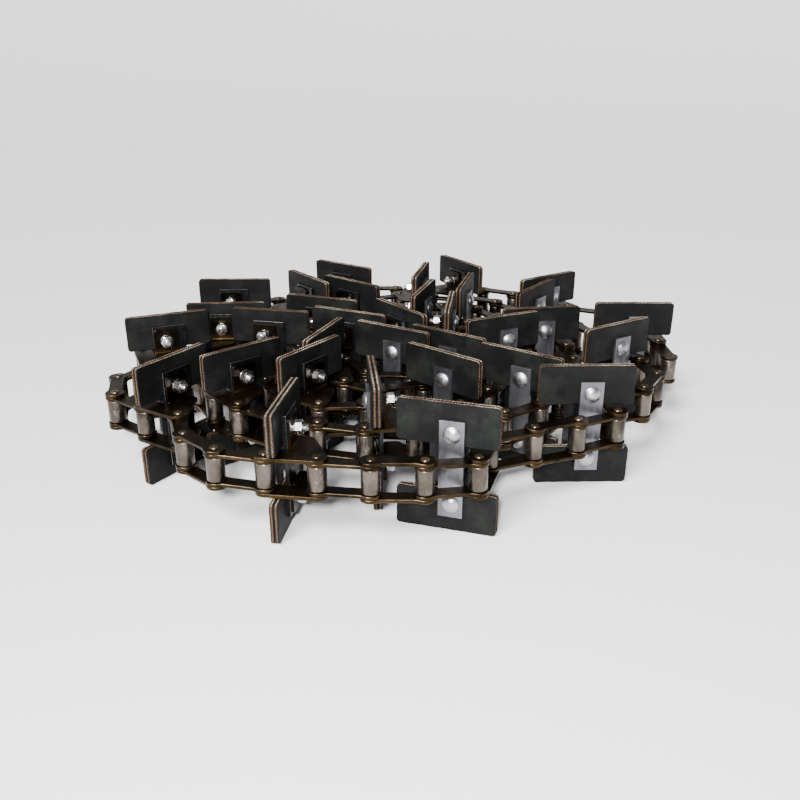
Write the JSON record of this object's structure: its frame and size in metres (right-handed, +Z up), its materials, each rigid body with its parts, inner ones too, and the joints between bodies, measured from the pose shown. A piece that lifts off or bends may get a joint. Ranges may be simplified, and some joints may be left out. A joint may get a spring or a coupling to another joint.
{
  "type": "paddle conveyor chain",
  "caption": "Coiled steel roller chain with bent plate attachments that carry pairs of bolted rubber paddles, for an elevator or scraper conveyor.",
  "frame": {"origin": "on the floor under the middle of the coil's plan box", "axes": "+Z up along the chain's pins; +X to the right and +Y away as the coil is seen from its front"},
  "size_m": [0.5646, 0.5283, 0.1111],
  "materials": {
    "attachment_steel": "bronze-brown oiled steel",
    "bright_strip": "bright rolled steel strip",
    "bush_steel": "oiled steel",
    "dark_plate": "dark oiled steel",
    "pin_steel": "riveted steel ends",
    "plate_steel": "bronze-brown oiled steel",
    "roller_steel": "worn turned steel",
    "rubber_flap": "satin belting with fabric plies showing at the cut edges",
    "zinc_bolt": "bright zinc plate",
    "zinc_nut": "bright zinc plate",
    "zinc_washer": "zinc plate"
  },
  "bodies": {
    "coil": {"coil_inner_bushes": "bush_steel", "coil_inner_plates": "plate_steel", "coil_outer_pins": "pin_steel", "coil_outer_plates": "plate_steel", "coil_paddle_attachment_plates": "attachment_steel", "coil_paddle_backing_plate": "dark_plate", "coil_paddle_bolts": "zinc_bolt", "coil_paddle_clamp_strip": "bright_strip", "coil_paddle_lock_washers": "zinc_washer", "coil_paddle_lower_flap": "rubber_flap", "coil_paddle_nuts": "zinc_nut", "coil_paddle_pins": "pin_steel", "coil_paddle_upper_flap": "rubber_flap", "coil_rollers": "roller_steel"},
    "inner_link_1": {"inner_link_1_bushes": "bush_steel", "inner_link_1_plates": "plate_steel"},
    "inner_link_1_roller_a": {"inner_link_1_roller_a": "roller_steel"},
    "inner_link_1_roller_b": {"inner_link_1_roller_b": "roller_steel"},
    "inner_link_3": {"inner_link_3_bushes": "bush_steel", "inner_link_3_plates": "plate_steel"},
    "inner_link_3_roller_a": {"inner_link_3_roller_a": "roller_steel"},
    "inner_link_3_roller_b": {"inner_link_3_roller_b": "roller_steel"},
    "inner_link_5": {"inner_link_5_bushes": "bush_steel", "inner_link_5_plates": "plate_steel"},
    "inner_link_5_roller_a": {"inner_link_5_roller_a": "roller_steel"},
    "inner_link_5_roller_b": {"inner_link_5_roller_b": "roller_steel"},
    "inner_link_7": {"inner_link_7_bushes": "bush_steel", "inner_link_7_plates": "plate_steel"},
    "inner_link_7_roller_a": {"inner_link_7_roller_a": "roller_steel"},
    "inner_link_7_roller_b": {"inner_link_7_roller_b": "roller_steel"},
    "inner_link_9": {"inner_link_9_bushes": "bush_steel", "inner_link_9_plates": "plate_steel"},
    "inner_link_9_roller_a": {"inner_link_9_roller_a": "roller_steel"},
    "inner_link_9_roller_b": {"inner_link_9_roller_b": "roller_steel"},
    "outer_link_4": {"outer_link_4_pins": "pin_steel", "outer_link_4_plates": "plate_steel"},
    "outer_link_8": {"outer_link_8_pins": "pin_steel", "outer_link_8_plates": "plate_steel"},
    "paddle_link_2": {"paddle_link_2_attachment_plates": "attachment_steel", "paddle_link_2_backing_plate": "dark_plate", "paddle_link_2_bolts": "zinc_bolt", "paddle_link_2_clamp_strip": "bright_strip", "paddle_link_2_lock_washers": "zinc_washer", "paddle_link_2_lower_flap": "rubber_flap", "paddle_link_2_nuts": "zinc_nut", "paddle_link_2_pins": "pin_steel", "paddle_link_2_upper_flap": "rubber_flap"},
    "paddle_link_6": {"paddle_link_6_attachment_plates": "attachment_steel", "paddle_link_6_backing_plate": "dark_plate", "paddle_link_6_bolts": "zinc_bolt", "paddle_link_6_clamp_strip": "bright_strip", "paddle_link_6_lock_washers": "zinc_washer", "paddle_link_6_lower_flap": "rubber_flap", "paddle_link_6_nuts": "zinc_nut", "paddle_link_6_pins": "pin_steel", "paddle_link_6_upper_flap": "rubber_flap"}
  },
  "joints": [
    {"name": "hinge_1", "type": "hinge", "parent": "paddle_link_2", "child": "inner_link_1", "pos_m": [0.26733, 0.02828, 0.05555], "axis": [0, 0, 1], "range_deg": [-60, 60]},
    {"name": "hinge_2", "type": "hinge", "parent": "inner_link_3", "child": "paddle_link_2", "pos_m": [0.26733, 0.06968, 0.05555], "axis": [0, 0, 1], "range_deg": [0, 45]},
    {"name": "hinge_3", "type": "hinge", "parent": "outer_link_4", "child": "inner_link_3", "pos_m": [0.25878, 0.11018, 0.05555], "axis": [0, 0, 1], "range_deg": [0, 40]},
    {"name": "hinge_4", "type": "hinge", "parent": "inner_link_5", "child": "outer_link_4", "pos_m": [0.23295, 0.14254, 0.05555], "axis": [0, 0, 1], "range_deg": [0, 35]},
    {"name": "hinge_5", "type": "hinge", "parent": "paddle_link_6", "child": "inner_link_5", "pos_m": [0.19557, 0.16032, 0.05555], "axis": [0, 0, 1], "range_deg": [0, 35]},
    {"name": "hinge_6", "type": "hinge", "parent": "inner_link_7", "child": "paddle_link_6", "pos_m": [0.17262, 0.19478, 0.05555], "axis": [0, 0, 1], "range_deg": [0, 7]},
    {"name": "hinge_7", "type": "hinge", "parent": "outer_link_8", "child": "inner_link_7", "pos_m": [0.13642, 0.21487, 0.05555], "axis": [0, 0, 1], "range_deg": [0, 12]},
    {"name": "hinge_8", "type": "hinge", "parent": "inner_link_9", "child": "outer_link_8", "pos_m": [0.10014, 0.23482, 0.05555], "axis": [0, 0, 1], "range_deg": [0, 35]},
    {"name": "hinge_9", "type": "hinge", "parent": "coil", "child": "inner_link_9", "pos_m": [0.06374, 0.25454, 0.05555], "axis": [0, 0, 1], "range_deg": [0, 40]},
    {"name": "roller_1a_spin", "type": "hinge", "parent": "inner_link_1", "child": "inner_link_1_roller_a", "pos_m": [0.26733, -0.01312, 0.05555], "axis": [0, 0, 1], "continuous": true},
    {"name": "roller_1b_spin", "type": "hinge", "parent": "inner_link_1", "child": "inner_link_1_roller_b", "pos_m": [0.26733, 0.02828, 0.05555], "axis": [0, 0, 1], "continuous": true},
    {"name": "roller_3a_spin", "type": "hinge", "parent": "inner_link_3", "child": "inner_link_3_roller_a", "pos_m": [0.26733, 0.06968, 0.05555], "axis": [0, 0, 1], "continuous": true},
    {"name": "roller_3b_spin", "type": "hinge", "parent": "inner_link_3", "child": "inner_link_3_roller_b", "pos_m": [0.25878, 0.11018, 0.05555], "axis": [0, 0, 1], "continuous": true},
    {"name": "roller_5a_spin", "type": "hinge", "parent": "inner_link_5", "child": "inner_link_5_roller_a", "pos_m": [0.23295, 0.14254, 0.05555], "axis": [0, 0, 1], "continuous": true},
    {"name": "roller_5b_spin", "type": "hinge", "parent": "inner_link_5", "child": "inner_link_5_roller_b", "pos_m": [0.19557, 0.16032, 0.05555], "axis": [0, 0, 1], "continuous": true},
    {"name": "roller_7a_spin", "type": "hinge", "parent": "inner_link_7", "child": "inner_link_7_roller_a", "pos_m": [0.17262, 0.19478, 0.05555], "axis": [0, 0, 1], "continuous": true},
    {"name": "roller_7b_spin", "type": "hinge", "parent": "inner_link_7", "child": "inner_link_7_roller_b", "pos_m": [0.13642, 0.21487, 0.05555], "axis": [0, 0, 1], "continuous": true},
    {"name": "roller_9a_spin", "type": "hinge", "parent": "inner_link_9", "child": "inner_link_9_roller_a", "pos_m": [0.10014, 0.23482, 0.05555], "axis": [0, 0, 1], "continuous": true},
    {"name": "roller_9b_spin", "type": "hinge", "parent": "inner_link_9", "child": "inner_link_9_roller_b", "pos_m": [0.06374, 0.25454, 0.05555], "axis": [0, 0, 1], "continuous": true}
  ]
}
